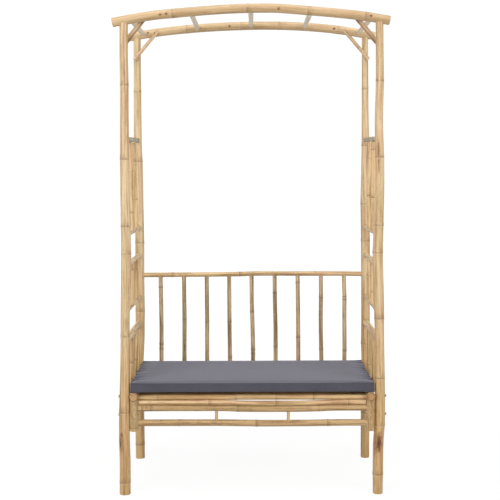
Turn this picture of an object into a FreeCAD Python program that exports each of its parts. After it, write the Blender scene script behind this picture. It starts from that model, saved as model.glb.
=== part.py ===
import FreeCAD, Part
import math
import os

# An arbour seat in round bamboo poles: four legs, two bent arches joined by roof rungs,
# two trellis sides, a spindle back, and a seat frame bolted between the legs under a pad.
# Millimetres. X runs to the right as seen from the front, Y to the back and Z up, and the
# origin is on the ground in the middle of the four feet.

V = FreeCAD.Vector
LEFT = -1
RIGHT = 1
FRONT = -1
REAR = 1
CORNERS = (
    ("front_left", LEFT, FRONT),
    ("front_right", RIGHT, FRONT),
    ("rear_left", LEFT, REAR),
    ("rear_right", RIGHT, REAR),
)

# Fits that every joint shares
hole_gap = 0.15
cope_gap = 0.2
hole_end_gap = 1.0
seat_gap = 0.3

# Legs
leg_x = 534.0
leg_y = 250.0
leg_foot_r = 21.0
leg_top_r = 16.5
leg_hollow_r = 9.0
leg_hollow_depth = 38.0
leg_tenon_r = 9.0
leg_tenon_rise = 5.0
leg_ring_heights = (65.0, 670.0, 1008.0, 1398.0, 1712.0)
# number, from 0, of the ring above which a leg tapers
leg_taper_ring = 2
leg_ring_rise = 1.0
leg_ring_h = 8.0
leg_seam_turn = 45.0

# Arches: the height is that of the pole's centre line in the middle of the arch
arch_peak_z = 2020.0
arch_drop = 54.0
arch_overhang = 42.0
arch_r = 20.0
arch_hollow_r = 8.0
arch_hollow_depth = 22.0
arch_peg_r = 3.0
arch_peg_drop = 4.0

# Roof rungs
rung_count = 5
rung_inset = 34.0
rung_r = 11.0
rung_tenon_r = 7.0
rung_tenon_depth = 14.0

# Corner braces, split from a larger pole
brace_culm_r = 20.0
brace_wall = 4.5
brace_w = 22.0
brace_top_in = 95.0
brace_top_up = 12.0
brace_foot_out = 9.0
brace_foot_down = 103.0
brace_bite = 1.5
nail_r = 1.25
nail_length = 26.0
nail_head_r = 3.0
nail_head_h = 1.2
nail_head_sink = 0.8
nail_gap = 0.05

# Trellis sides
panel_top_z = 1482.0
panel_mid_high_z = 1084.0
panel_mid_low_z = 954.0
panel_window_z = 761.0
arm_rail_z = 638.0
panel_rail_r = 11.0
arm_rail_r = 15.0
panel_base_drop = 7.0
rail_tenon_r = 8.0
rail_tenon_depth = 13.0
stick_count = 2
stick_r = 9.5
stick_tenon_r = 4.5
stick_tenon_depth = 8.0

# Spindle back
back_top_z = 860.0
back_rail_r = 11.0
back_rail_clearance = 2.0
spindle_count = 9
spindle_end_gap = 105.0
spindle_r = 9.5
spindle_tenon_r = 5.0
spindle_tenon_depth = 9.0

# Seat frame
seat_rail_z = 409.0
seat_rail_r = 18.0
seat_rail_overhang = 22.0
slat_count = 11
slat_inset = 22.0
slat_drop = 9.0
slat_r = 12.0
slat_tenon_r = 6.0
slat_tenon_depth = 11.0
slat_cope = 6.0
post_foot_z = 264.0
post_r = 18.5
post_ear_rise = 4.0
post_tenon_r = 11.0
post_tenon_depth = 8.0
apron_high_z = 356.5
apron_low_z = 295.0
apron_r = 13.0
apron_set_in = 4.0
apron_tenon_r = 8.0
apron_tenon_depth = 14.0
apron_through_tenon_r = 10.0
filler_r = 10.5
spacer_x = 150.0
spacer_r = 6.5
spacer_tenon_r = 3.5
spacer_tenon_depth = 6.0

# Bolts that hold the seat frame to the legs
low_bolt_z = 333.0
bolt_r = 3.0
bolt_gap = 0.25
bolt_past_nut = 2.0
hex_across_flats = 10.0
bolt_head_h = 4.0
nut_h = 5.0
washer_r = 6.0
washer_h = 1.2
spot_face_depth = 1.2
spot_face_gap = 0.5
nut_pocket_depth = 8.4

# Seat pad
pad_side_gap = 1.4
pad_front_y = -270.0
pad_rear_y = 206.0
pad_edge_h = 34.0
pad_crown = 4.0
pad_draw_in = 3.0
pad_side_bulge = 2.5
pad_cover_t = 1.5
pad_section_count = 7

arch_half = leg_x + arch_overhang
arch_bend_r = (arch_half ** 2 + arch_drop ** 2) / (2 * arch_drop)
arch_bend_z = arch_peak_z - arch_bend_r
arch_turn = math.asin(arch_half / arch_bend_r)


def arch_z(x):
    """Height of an arch's centre line at x."""
    return arch_bend_z + math.sqrt(arch_bend_r ** 2 - x ** 2)


leg_height = arch_z(leg_x)


def leg_radius(z):
    """Outer radius of a leg at height z: it only tapers above one of its rings."""
    above = max(z - leg_ring_heights[leg_taper_ring], 0)
    return leg_foot_r - (leg_foot_r - leg_top_r) * above / (leg_height - leg_ring_heights[leg_taper_ring])


seat_rail_x = leg_x - leg_radius(seat_rail_z - seat_rail_r) - seat_gap - seat_rail_r
post_x = leg_x - leg_radius(post_foot_z) - seat_gap - post_r
seat_top_z = seat_rail_z + seat_rail_r
panel_base_z = seat_rail_z - panel_base_drop
back_base_z = seat_top_z + back_rail_clearance + back_rail_r
slat_z = seat_rail_z - slat_drop
filler_z = apron_high_z + apron_r + seat_gap + filler_r
apron_y = leg_y - apron_set_in
pad_half_w = leg_x - leg_radius(seat_top_z) - pad_side_gap


def spread(low, high, count):
    """Evenly spaced places from low to high, ends included."""
    return [low + (high - low) * i / (count - 1) for i in range(count)]


rung_places = spread(-(leg_x - rung_inset), leg_x - rung_inset, rung_count)
spindle_places = spread(-(leg_x - spindle_end_gap), leg_x - spindle_end_gap, spindle_count)
slat_places = spread(-(leg_y - slat_inset), leg_y - slat_inset, slat_count)
stick_places = spread(-leg_y, leg_y, stick_count + 2)[1:-1]
panel_rails = (
    ("top_rail", panel_top_z, panel_rail_r),
    ("upper_mid_rail", panel_mid_high_z, panel_rail_r),
    ("lower_mid_rail", panel_mid_low_z, panel_rail_r),
    ("window_rail", panel_window_z, panel_rail_r),
    ("arm_rail", arm_rail_z, arm_rail_r),
    ("base_rail", panel_base_z, panel_rail_r),
)
stick_bays = (
    (panel_rails[1], panel_rails[0]),
    (panel_rails[3], panel_rails[2]),
    (panel_rails[5], panel_rails[4]),
)


def rod(start, end, radius):
    """Round solid from start to end."""
    along = end.sub(start)
    return Part.makeCylinder(radius, along.Length, start, along)


def one_piece(shape):
    """The shape's single solid, with the seams of its making removed."""
    return shape.removeSplitter().Solids[0]


def save(name, *solids):
    shape = solids[0] if len(solids) == 1 else Part.makeCompound(list(solids))
    shape.exportStep(os.path.join("parts", name + ".step"))


def leg_pole(side, end, grow=0.0):
    """A leg's tapered pole with its rings, up to the centre line of its arch."""
    axis = V(side * leg_x, end * leg_y, 0)
    corner = axis.add(V(leg_foot_r + grow, 0, 0))
    outline = [Part.makeLine(axis, corner)]
    for height in leg_ring_heights:
        low, crest, high = (
            axis.add(V(leg_radius(z) + grow + rise, 0, z))
            for z, rise in (
                (height - leg_ring_h / 2, 0),
                (height, leg_ring_rise),
                (height + leg_ring_h / 2, 0),
            )
        )
        outline.append(Part.makeLine(corner, low))
        outline.append(Part.Arc(low, crest, high).toShape())
        corner = high
    rim = axis.add(V(leg_top_r + grow, 0, leg_height))
    centre = axis.add(V(0, 0, leg_height))
    outline.append(Part.makeLine(corner, rim))
    outline.append(Part.makeLine(rim, centre))
    outline.append(Part.makeLine(centre, axis))
    pole = Part.Face(Part.Wire(outline)).revolve(axis, V(0, 0, 1), 360)
    # the seam is turned away from the holes
    pole.rotate(axis, V(0, 0, 1), leg_seam_turn)
    return pole


def arch_pole(end, radius):
    """An arch's bent pole at the front or the rear."""
    start = V(-arch_half, end * leg_y, arch_z(arch_half))
    tangent = V(math.cos(arch_turn), 0, math.sin(arch_turn))
    disc = Part.Face(Part.Wire(Part.makeCircle(radius, start, tangent)))
    middle = V(0, end * leg_y, arch_bend_z)
    return disc.revolve(middle, V(0, 1, 0), math.degrees(2 * arch_turn))


def hexagon(x, y, z, height, direction):
    """Hexagonal prism along X that starts at x and grows in the given direction."""
    corner_r = hex_across_flats / math.sqrt(3)
    turns = [math.radians(60 * i) for i in range(7)]
    corners = [V(x, y + corner_r * math.cos(a), z + corner_r * math.sin(a)) for a in turns]
    return Part.Face(Part.makePolygon(corners)).extrude(V(direction * height, 0, 0))


# Bolts run sideways through a leg and the seat frame: one row per bolt, with the place of
# its nut's seat, deep in a pocket of the frame, and of its head's seat outside the leg
def bolt_places(side):
    rows = []
    for z, pole_x, pole_r in (
        (seat_rail_z, seat_rail_x, seat_rail_r),
        (low_bolt_z, post_x, post_r),
    ):
        nut_x = side * (pole_x - pole_r + nut_pocket_depth)
        head_x = side * (leg_x + leg_radius(z) - spot_face_depth)
        rows.append((z, nut_x, head_x))
    return rows


def bolt_cuts(side, end):
    """Bolt holes, the nuts' pockets and the flats cut for the heads, at one corner."""
    cuts = []
    y = end * leg_y
    for z, nut_x, head_x in bolt_places(side):
        outward = V(side, 0, 0)
        face_r = washer_r + spot_face_gap
        past = seat_rail_r
        cuts.append(rod(V(nut_x, y, z), V(head_x, y, z), bolt_r + bolt_gap))
        cuts.append(Part.makeCylinder(face_r, past, V(head_x, y, z), outward))
        cuts.append(Part.makeCylinder(face_r, past, V(nut_x, y, z), outward.negative()))
    return cuts


# Corner braces: each lies across the inner faces of an arch and its leg
def brace_ends(side, end):
    """Axis of the pole that a brace is split from, foot end first."""
    edge = math.sqrt((brace_culm_r - brace_wall) ** 2 - (brace_w / 2) ** 2)
    top_x = leg_x - brace_top_in
    foot_z = arch_z(leg_x) - brace_foot_down
    top_y = leg_y - arch_r + brace_bite + edge
    foot_y = leg_y - leg_radius(foot_z) + brace_bite + edge
    foot = V(side * (leg_x + brace_foot_out), end * foot_y, foot_z)
    top = V(side * top_x, end * top_y, arch_z(top_x) + brace_top_up)
    return foot, top


def brace_frame(side, end):
    """Placement with Z along the brace and Y out of its skin, towards the middle."""
    foot, top = brace_ends(side, end)
    turn = FreeCAD.Rotation(V(), V(0, -end, 0), top.sub(foot), "ZYX")
    return FreeCAD.Placement(foot, turn)


def brace_nail_heights(side, end):
    """Places along the brace where it crosses its leg and its arch."""
    foot, top = brace_ends(side, end)
    length = top.sub(foot).Length
    at_leg = length * brace_foot_out / (brace_foot_out + brace_top_in)
    at_arch = length * (1 - brace_top_up / (top.z - foot.z))
    return at_leg, at_arch


def brace_nail(side, end, height, grow=0.0):
    """One nail with its head let into the brace; grown, it is the hole for that nail."""
    seat_y = brace_culm_r - nail_head_sink
    shank = rod(V(0, seat_y, height), V(0, seat_y - nail_length, height), nail_r + grow)
    head_top = seat_y + nail_head_h + grow * nail_head_r / nail_gap
    head = rod(V(0, seat_y, height), V(0, head_top, height), nail_head_r + grow)
    nail = shank.fuse(head)
    nail.Placement = brace_frame(side, end)
    return nail


def nail_cuts(side, end):
    return [brace_nail(side, end, h, nail_gap) for h in brace_nail_heights(side, end)]


def brace(side, end):
    foot, top = brace_ends(side, end)
    length = top.sub(foot).Length
    culm = Part.makeCylinder(brace_culm_r, length)
    culm = culm.cut(Part.makeCylinder(brace_culm_r - brace_wall, length))
    strip = culm.common(Part.makeBox(brace_w, brace_culm_r, length, V(-brace_w / 2, 0, 0)))
    strip.Placement = brace_frame(side, end)
    seats = [arch_pole(end, arch_r + cope_gap), leg_pole(side, end, cope_gap)]
    return one_piece(strip.cut(seats + nail_cuts(side, end)))


# Joints between poles that run square to each other
def rail_reach(z):
    """How far a front-to-back rail's tenons reach from the middle."""
    return leg_y - leg_radius(z) + rail_tenon_depth


def cross_reach(z):
    """How far the back rails' tenons reach from the middle."""
    return leg_x - leg_radius(z) + rail_tenon_depth


def panel_rail_cuts(side, end):
    """Holes in a leg for the rails of its trellis side."""
    cuts = []
    for _, z, _ in panel_rails:
        deep = V(side * leg_x, end * (rail_reach(z) + hole_end_gap), z)
        cuts.append(rod(deep, V(side * leg_x, 0, z), rail_tenon_r + hole_gap))
    return cuts


def back_rail_cuts(side):
    """Holes in a rear leg for the two rails of the back."""
    cuts = []
    for z in (back_base_z, back_top_z):
        deep = V(side * (cross_reach(z) + hole_end_gap), leg_y, z)
        cuts.append(rod(deep, V(0, leg_y, z), rail_tenon_r + hole_gap))
    return cuts


def peg(side, end, grow=0.0):
    """Peg from the outer face of an arch through the tenon of its leg."""
    z = arch_z(leg_x) - arch_peg_drop
    outer = V(side * leg_x, end * (leg_y + arch_r), z)
    inner = V(side * leg_x, end * (leg_y - arch_r / 2), z)
    return rod(outer, inner, arch_peg_r + grow)


def leg_tenon(side, end, grow=0.0):
    x = side * leg_x
    y = end * leg_y
    low = V(x, y, leg_height - arch_r - leg_tenon_r)
    high = V(x, y, leg_height + leg_tenon_rise + grow)
    return rod(low, high, leg_tenon_r + (hole_gap if grow else 0.0))


def leg(side, end):
    x = side * leg_x
    y = end * leg_y
    pole = leg_pole(side, end).cut(arch_pole(end, arch_r + cope_gap))
    pole = pole.fuse(leg_tenon(side, end))
    cuts = [rod(V(x, y, 0), V(x, y, leg_hollow_depth), leg_hollow_r)]
    cuts += panel_rail_cuts(side, end) + bolt_cuts(side, end) + nail_cuts(side, end)
    cuts.append(peg(side, end, hole_gap))
    if end == REAR:
        cuts += back_rail_cuts(side)
    return one_piece(pole.cut(cuts))


def rung_reach():
    """How far a roof rung's tenons reach from the middle."""
    return leg_y - arch_r + rung_tenon_depth


def arch(end):
    pole = arch_pole(end, arch_r)
    cuts = []
    for side in (LEFT, RIGHT):
        inward = V(-side * math.cos(arch_turn), 0, math.sin(arch_turn))
        tip = V(side * arch_half, end * leg_y, arch_z(arch_half))
        cuts.append(Part.makeCylinder(arch_hollow_r, arch_hollow_depth, tip, inward))
        cuts.append(leg_tenon(side, end, hole_end_gap))
        cuts.append(peg(side, end, hole_gap))
        cuts += nail_cuts(side, end)
    for x in rung_places:
        deep = V(x, end * (rung_reach() + hole_end_gap), arch_z(x))
        cuts.append(rod(deep, V(x, 0, arch_z(x)), rung_tenon_r + hole_gap))
    return one_piece(pole.cut(cuts))


def roof_rung(x):
    z = arch_z(x)
    pole = rod(V(x, -leg_y, z), V(x, leg_y, z), rung_r)
    pole = pole.cut([arch_pole(end, arch_r + cope_gap) for end in (FRONT, REAR)])
    tenon = rod(V(x, -rung_reach(), z), V(x, rung_reach(), z), rung_tenon_r)
    return one_piece(pole.fuse(tenon))


def stick_hole(side, y, low_z, high_z):
    """Hole through the facing sides of the two rails that a stick stands between."""
    low = V(side * leg_x, y, low_z)
    high = V(side * leg_x, y, high_z)
    return rod(low, high, stick_tenon_r + hole_gap)


def stick_ends(bay):
    """Heights that a stick's tenons reach in its two rails."""
    (_, low_z, low_r), (_, high_z, high_r) = bay
    return low_z + low_r - stick_tenon_depth, high_z - high_r + stick_tenon_depth


def panel_rail(side, z, radius):
    x = side * leg_x
    pole = rod(V(x, -leg_y, z), V(x, leg_y, z), radius)
    pole = pole.cut([leg_pole(side, end, cope_gap) for end in (FRONT, REAR)])
    pole = pole.fuse(rod(V(x, -rail_reach(z), z), V(x, rail_reach(z), z), rail_tenon_r))
    holes = []
    for bay in stick_bays:
        low, high = stick_ends(bay)
        if z in (bay[0][1], bay[1][1]):
            for y in stick_places:
                holes.append(stick_hole(side, y, low - hole_end_gap, high + hole_end_gap))
    return one_piece(pole.cut(holes))


def panel_stick(side, y, bay):
    x = side * leg_x
    (_, low_z, low_r), (_, high_z, high_r) = bay
    stick = rod(V(x, y, low_z), V(x, y, high_z), stick_r)
    rails = ((low_z, low_r), (high_z, high_r))
    stick = stick.cut([rod(V(x, -leg_y, z), V(x, leg_y, z), r + cope_gap) for z, r in rails])
    low, high = stick_ends(bay)
    return one_piece(stick.fuse(rod(V(x, y, low), V(x, y, high), stick_tenon_r)))


def spindle_ends():
    """Heights that a spindle's tenons reach in the two back rails."""
    low = back_base_z + back_rail_r - spindle_tenon_depth
    high = back_top_z - back_rail_r + spindle_tenon_depth
    return low, high


def back_rail(z):
    pole = rod(V(-leg_x, leg_y, z), V(leg_x, leg_y, z), back_rail_r)
    pole = pole.cut([leg_pole(side, REAR, cope_gap) for side in (LEFT, RIGHT)])
    pole = pole.fuse(rod(V(-cross_reach(z), leg_y, z), V(cross_reach(z), leg_y, z), rail_tenon_r))
    low, high = spindle_ends()
    holes = []
    for x in spindle_places:
        bottom = V(x, leg_y, low - hole_end_gap)
        top = V(x, leg_y, high + hole_end_gap)
        holes.append(rod(bottom, top, spindle_tenon_r + hole_gap))
    return one_piece(pole.cut(holes))


def spindle(x):
    pole = rod(V(x, leg_y, back_base_z), V(x, leg_y, back_top_z), spindle_r)
    rails = []
    for z in (back_base_z, back_top_z):
        ends = V(x - back_rail_r, leg_y, z), V(x + back_rail_r, leg_y, z)
        rails.append(rod(*ends, back_rail_r + cope_gap))
    low, high = spindle_ends()
    tenon = rod(V(x, leg_y, low), V(x, leg_y, high), spindle_tenon_r)
    return one_piece(pole.cut(rails).fuse(tenon))


def seat_rail_pole(side, grow=0.0):
    x = side * seat_rail_x
    reach = leg_y + seat_rail_overhang
    return rod(V(x, -reach, seat_rail_z), V(x, reach, seat_rail_z), seat_rail_r + grow)


def slat_reach():
    """How far a slat's tenons reach from the middle."""
    return seat_rail_x - seat_rail_r + slat_tenon_depth


def post_tenon(side, end, grow=0.0):
    x = side * post_x
    low = V(x, end * leg_y, seat_rail_z - seat_rail_r - post_tenon_depth)
    high = V(x, end * leg_y, seat_rail_z - seat_rail_r + post_tenon_depth + grow)
    return rod(low, high, post_tenon_r + (hole_gap if grow else 0.0))


def seat_rail(side):
    cuts = []
    for y in slat_places:
        deep = V(side * (slat_reach() + hole_end_gap), y, slat_z)
        cuts.append(rod(deep, V(0, y, slat_z), slat_tenon_r + hole_gap))
    for end in (FRONT, REAR):
        cuts.append(post_tenon(side, end, hole_end_gap))
        cuts += bolt_cuts(side, end)
    return one_piece(seat_rail_pole(side).cut(cuts))


def slat_pole(y, grow=0.0):
    half = seat_rail_x - seat_rail_r + slat_cope + grow
    return rod(V(-half, y, slat_z), V(half, y, slat_z), slat_r + grow)


def slat(y):
    pole = slat_pole(y).cut([seat_rail_pole(side, cope_gap) for side in (LEFT, RIGHT)])
    tenon = rod(V(-slat_reach(), y, slat_z), V(slat_reach(), y, slat_z), slat_tenon_r)
    return one_piece(pole.fuse(tenon))


def post_pole(side, end, grow=0.0):
    x = side * post_x
    top = seat_rail_z - seat_rail_r + post_ear_rise
    return rod(V(x, end * leg_y, post_foot_z), V(x, end * leg_y, top), post_r + grow)


def apron_reach():
    """How far the upper apron rail's tenons reach from the middle."""
    return post_x - post_r + apron_tenon_depth


def post(side, end):
    """Short post, its top coped to the seat rail and notched for the outermost slat."""
    y = end * apron_y
    pole = post_pole(side, end)
    pole = pole.cut([seat_rail_pole(side, cope_gap), slat_pole(end * (leg_y - slat_inset), cope_gap)])
    pole = pole.fuse(post_tenon(side, end))
    deep = V(side * (apron_reach() + hole_end_gap), y, apron_high_z)
    through = V(side * leg_x, y, apron_low_z)
    cuts = [
        rod(deep, V(0, y, apron_high_z), apron_tenon_r + hole_gap),
        rod(through, V(0, y, apron_low_z), apron_through_tenon_r + hole_gap),
    ]
    return one_piece(pole.cut(cuts + bolt_cuts(side, end)))


def spacer_ends():
    """Heights that a spacer's tenons reach in the two apron rails."""
    low = apron_low_z + apron_r - spacer_tenon_depth
    high = apron_high_z - apron_r + spacer_tenon_depth
    return low, high


def apron_rail(end, z, reach, tenon_r):
    y = end * apron_y
    pole = rod(V(-post_x, y, z), V(post_x, y, z), apron_r)
    pole = pole.cut([post_pole(side, end, cope_gap) for side in (LEFT, RIGHT)])
    pole = pole.Solids[0].fuse(rod(V(-reach, y, z), V(reach, y, z), tenon_r))
    legs = [leg_pole(side, end, cope_gap) for side in (LEFT, RIGHT)]
    low, high = spacer_ends()
    holes = []
    for x in (-spacer_x, spacer_x):
        bottom = V(x, y, low - hole_end_gap)
        top = V(x, y, high + hole_end_gap)
        holes.append(rod(bottom, top, spacer_tenon_r + hole_gap))
    return one_piece(pole.cut(legs + holes))


def spacer(x, end):
    y = end * apron_y
    pole = rod(V(x, y, apron_low_z), V(x, y, apron_high_z), spacer_r)
    rails = []
    for z in (apron_low_z, apron_high_z):
        ends = V(x - apron_r, y, z), V(x + apron_r, y, z)
        rails.append(rod(*ends, apron_r + cope_gap))
    low, high = spacer_ends()
    return one_piece(pole.cut(rails).fuse(rod(V(x, y, low), V(x, y, high), spacer_tenon_r)))


def filler_pole():
    half = post_x - post_r - seat_gap
    return rod(V(-half, -apron_y, filler_z), V(half, -apron_y, filler_z), filler_r)


def bolt_washer(x, y, z, direction):
    ring = Part.makeCylinder(washer_r, washer_h, V(x, y, z), V(direction, 0, 0))
    return ring.cut(Part.makeCylinder(bolt_r + bolt_gap, washer_h, V(x, y, z), V(direction, 0, 0)))


def fasteners():
    """Bolts, nuts and washers of the whole seat, as three lists."""
    bolts = []
    nuts = []
    washers = []
    for _, side, end in CORNERS:
        y = end * leg_y
        for z, nut_x, head_x in bolt_places(side):
            head_face = head_x + side * washer_h
            nut_face = nut_x - side * washer_h
            tip = nut_face - side * (nut_h + bolt_past_nut)
            shank = rod(V(head_face, y, z), V(tip, y, z), bolt_r)
            head = hexagon(head_face, y, z, bolt_head_h, side)
            nut = hexagon(nut_face, y, z, nut_h, -side)
            hole = rod(V(nut_face, y, z), V(tip, y, z), bolt_r)
            bolts.append(one_piece(shank.fuse(head)))
            nuts.append(one_piece(nut.cut(hole)))
            washers.append(bolt_washer(nut_x, y, z, -side))
            washers.append(bolt_washer(head_x, y, z, side))
    return bolts, nuts, washers


# Seat pad: a boxed cushion with a low crown, its long sides drawn in between the corners
def pad_section(x, inset):
    """Closed outline of the pad across its width at x."""
    fall = 1 - (x / pad_half_w) ** 2
    front = pad_front_y + pad_side_bulge + pad_draw_in * fall + inset
    rear = pad_rear_y - pad_side_bulge - pad_draw_in * fall - inset
    low = seat_top_z + seat_gap + inset
    high = seat_top_z + seat_gap + pad_edge_h - inset
    mid_y = (front + rear) / 2
    mid_z = (low + high) / 2
    crown = high + pad_crown * fall
    base = Part.LineSegment(V(x, front, low), V(x, rear, low))
    back = Part.Arc(V(x, rear, low), V(x, rear + pad_side_bulge, mid_z), V(x, rear, high))
    top = Part.Arc(V(x, rear, high), V(x, mid_y, crown + pad_side_bulge), V(x, front, high))
    face = Part.Arc(V(x, front, high), V(x, front - pad_side_bulge, mid_z), V(x, front, low))
    return Part.Wire([edge.toShape() for edge in (base, back, top, face)])


def pad_form(inset):
    half = pad_half_w - inset
    sections = [pad_section(x, inset) for x in spread(-half, half, pad_section_count)]
    return Part.makeLoft(sections, True, False)


os.makedirs("parts", exist_ok=True)

for corner, side, end in CORNERS:
    save("leg_" + corner, leg(side, end))
    save("brace_" + corner, brace(side, end))
    save("post_" + corner, post(side, end))

for name, end in (("front", FRONT), ("rear", REAR)):
    save("arch_" + name, arch(end))
    save("apron_upper_rail_" + name, apron_rail(end, apron_high_z, apron_reach(), apron_tenon_r))
    save("apron_lower_rail_" + name, apron_rail(end, apron_low_z, leg_x, apron_through_tenon_r))

for number, x in enumerate(rung_places, 1):
    save("roof_rung_%d" % number, roof_rung(x))

for name, side in (("left", LEFT), ("right", RIGHT)):
    for rail, z, radius in panel_rails:
        save("%s_%s" % (name, rail), panel_rail(side, z, radius))
    sticks = [panel_stick(side, y, bay) for bay in stick_bays for y in stick_places]
    save(name + "_panel_sticks", *sticks)
    save("seat_rail_" + name, seat_rail(side))

save("back_top_rail", back_rail(back_top_z))
save("back_base_rail", back_rail(back_base_z))
for number, x in enumerate(spindle_places, 1):
    save("back_spindle_%d" % number, spindle(x))

save("seat_slats", *[slat(y) for y in slat_places])
save("front_filler_pole", filler_pole())
save("apron_spacers", *[spacer(x, end) for end in (FRONT, REAR) for x in (-spacer_x, spacer_x)])

bolts, nuts, washers = fasteners()
save("seat_bolts", *bolts)
save("seat_nuts", *nuts)
save("seat_washers", *washers)
save("arch_pegs", *[peg(side, end).common(arch_pole(end, arch_r)) for _, side, end in CORNERS])
brace_nails = []
for _, side, end in CORNERS:
    for height in brace_nail_heights(side, end):
        brace_nails.append(one_piece(brace_nail(side, end, height)))
save("brace_nails", *brace_nails)

save("cushion_cover", pad_form(0.0).cut(pad_form(pad_cover_t)))
save("cushion_foam", pad_form(pad_cover_t + seat_gap))
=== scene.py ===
import random
from math import asin, atan2, copysign, cos, exp, pi, radians, sin, tau

import bmesh
import bpy
from mathutils import Matrix, Vector


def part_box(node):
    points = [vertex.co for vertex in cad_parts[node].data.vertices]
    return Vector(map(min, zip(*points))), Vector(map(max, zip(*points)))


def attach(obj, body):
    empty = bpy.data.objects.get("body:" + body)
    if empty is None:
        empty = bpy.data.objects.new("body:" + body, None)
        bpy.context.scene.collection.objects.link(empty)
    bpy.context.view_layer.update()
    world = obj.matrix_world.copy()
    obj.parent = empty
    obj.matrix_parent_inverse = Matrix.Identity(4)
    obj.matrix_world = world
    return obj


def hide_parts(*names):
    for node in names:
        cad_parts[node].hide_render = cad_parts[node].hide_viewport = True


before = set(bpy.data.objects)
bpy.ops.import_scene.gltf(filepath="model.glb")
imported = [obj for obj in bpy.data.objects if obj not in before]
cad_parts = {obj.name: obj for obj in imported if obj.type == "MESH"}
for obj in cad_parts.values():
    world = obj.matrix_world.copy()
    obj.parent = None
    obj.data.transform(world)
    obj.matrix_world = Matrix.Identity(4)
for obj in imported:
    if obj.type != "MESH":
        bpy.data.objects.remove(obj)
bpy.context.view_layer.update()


# Legs
# Four bamboo culms, thick end down, each with the rings of its joints and a slight bow.
# Sawn flat at the foot, fish-mouthed and pegged under the arches.

def paint(code, share=1.0):
    """Shader colour for a hexadecimal sRGB code, darkened to a share of it."""
    channels = (share * int(code[i:i + 2], 16) / 255 for i in (0, 2, 4))
    return tuple(c / 12.92 if c <= 0.04045 else ((c + 0.055) / 1.055) ** 2.4 for c in channels) + (1.0,)


def link(value, socket):
    value.id_data.links.new(value, socket)


def add_node(kind, inputs, tree=None, **settings):
    """A shader node with its settings and inputs, of which sockets are linked.

    Its tree is that of the linked sockets, and is given where there are none.
    """
    linked = [value for value in inputs.values() if isinstance(value, bpy.types.NodeSocket)]
    tree = tree or linked[0].id_data
    made = tree.nodes.new("ShaderNode" + kind)
    for key, value in settings.items():
        setattr(made, key, value)
    for key, value in inputs.items():
        if isinstance(value, bpy.types.NodeSocket):
            link(value, made.inputs[key])
        else:
            made.inputs[key].default_value = value
    return made


def maths(operation, *values):
    return add_node("Math", dict(enumerate(values)), operation=operation).outputs[0]


def times(first, second):
    return maths("MULTIPLY", first, second)


def plus(first, second):
    return maths("ADD", first, second)


def minus(first, second):
    return maths("SUBTRACT", first, second)


def size_of(vector):
    return add_node("VectorMath", {0: vector}, operation="LENGTH").outputs["Value"]


def stretch(vector, factors):
    return add_node("VectorMath", {0: vector, 1: factors}, operation="MULTIPLY").outputs[0]


def axes(vector):
    return add_node("SeparateXYZ", {0: vector}).outputs


def fade(value, low, high, to_low=0.0, to_high=1.0):
    """Smooth change from to_low to to_high as the value goes from low to high."""
    inputs = {0: value, 1: low, 2: high, 3: to_low, 4: to_high}
    return add_node("MapRange", inputs, interpolation_type="SMOOTHSTEP").outputs[0]


def tint(amount, base, over, blend="MIX"):
    """The base colour with the other laid over it by an amount."""
    inputs = {0: amount, 6: base, 7: over}
    return add_node("Mix", inputs, data_type="RGBA", blend_type=blend).outputs[2]


def noise(place, detail, rough=0.5):
    inputs = {"Vector": place, "Scale": 1.0, "Detail": detail, "Roughness": rough}
    return add_node("TexNoise", inputs).outputs[0]


def fibres(place, across, along, detail=2.0, rough=0.55):
    """Noise drawn out along the fibres, with so many features a metre across and along them."""
    return noise(stretch(place, (across, across, along)), detail, rough)


def effect(name, inputs, outputs):
    """An empty shader node group, with its sockets' names by kind, and the sockets inside it."""
    group = bpy.data.node_groups.new(name, "ShaderNodeTree")
    for in_out, kinds in (("INPUT", inputs), ("OUTPUT", outputs)):
        for kind, labels in kinds.items():
            for label in labels.split():
                group.interface.new_socket(name=label, in_out=in_out, socket_type="NodeSocket" + kind)
    return group, group.nodes.new("NodeGroupInput").outputs, group.nodes.new("NodeGroupOutput").inputs


def use(group, **inputs):
    """The group placed in a material, with its named inputs."""
    return add_node("Group", inputs, node_tree=group).outputs


def new_material(name, **values):
    """A material with its node tree and its shader's inputs, of which some get values."""
    material = bpy.data.materials.new(name)
    material.use_nodes = True
    shader = material.node_tree.nodes["Principled BSDF"].inputs
    for key, value in values.items():
        shader[key.replace("_", " ")].default_value = value
    return material, material.node_tree, shader


def kept_vector(tree, key):
    """What the vertices of a mesh keep under a name."""
    return add_node("Attribute", {}, tree, attribute_name=key).outputs["Vector"]


def object_place(tree):
    return add_node("TexCoord", {}, tree).outputs["Object"]


def emboss(shader, height, strength, distance):
    """Fine relief on a surface."""
    bump = add_node("Bump", {"Strength": strength, "Distance": distance, "Height": height})
    link(bump.outputs[0], shader["Normal"])


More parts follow.
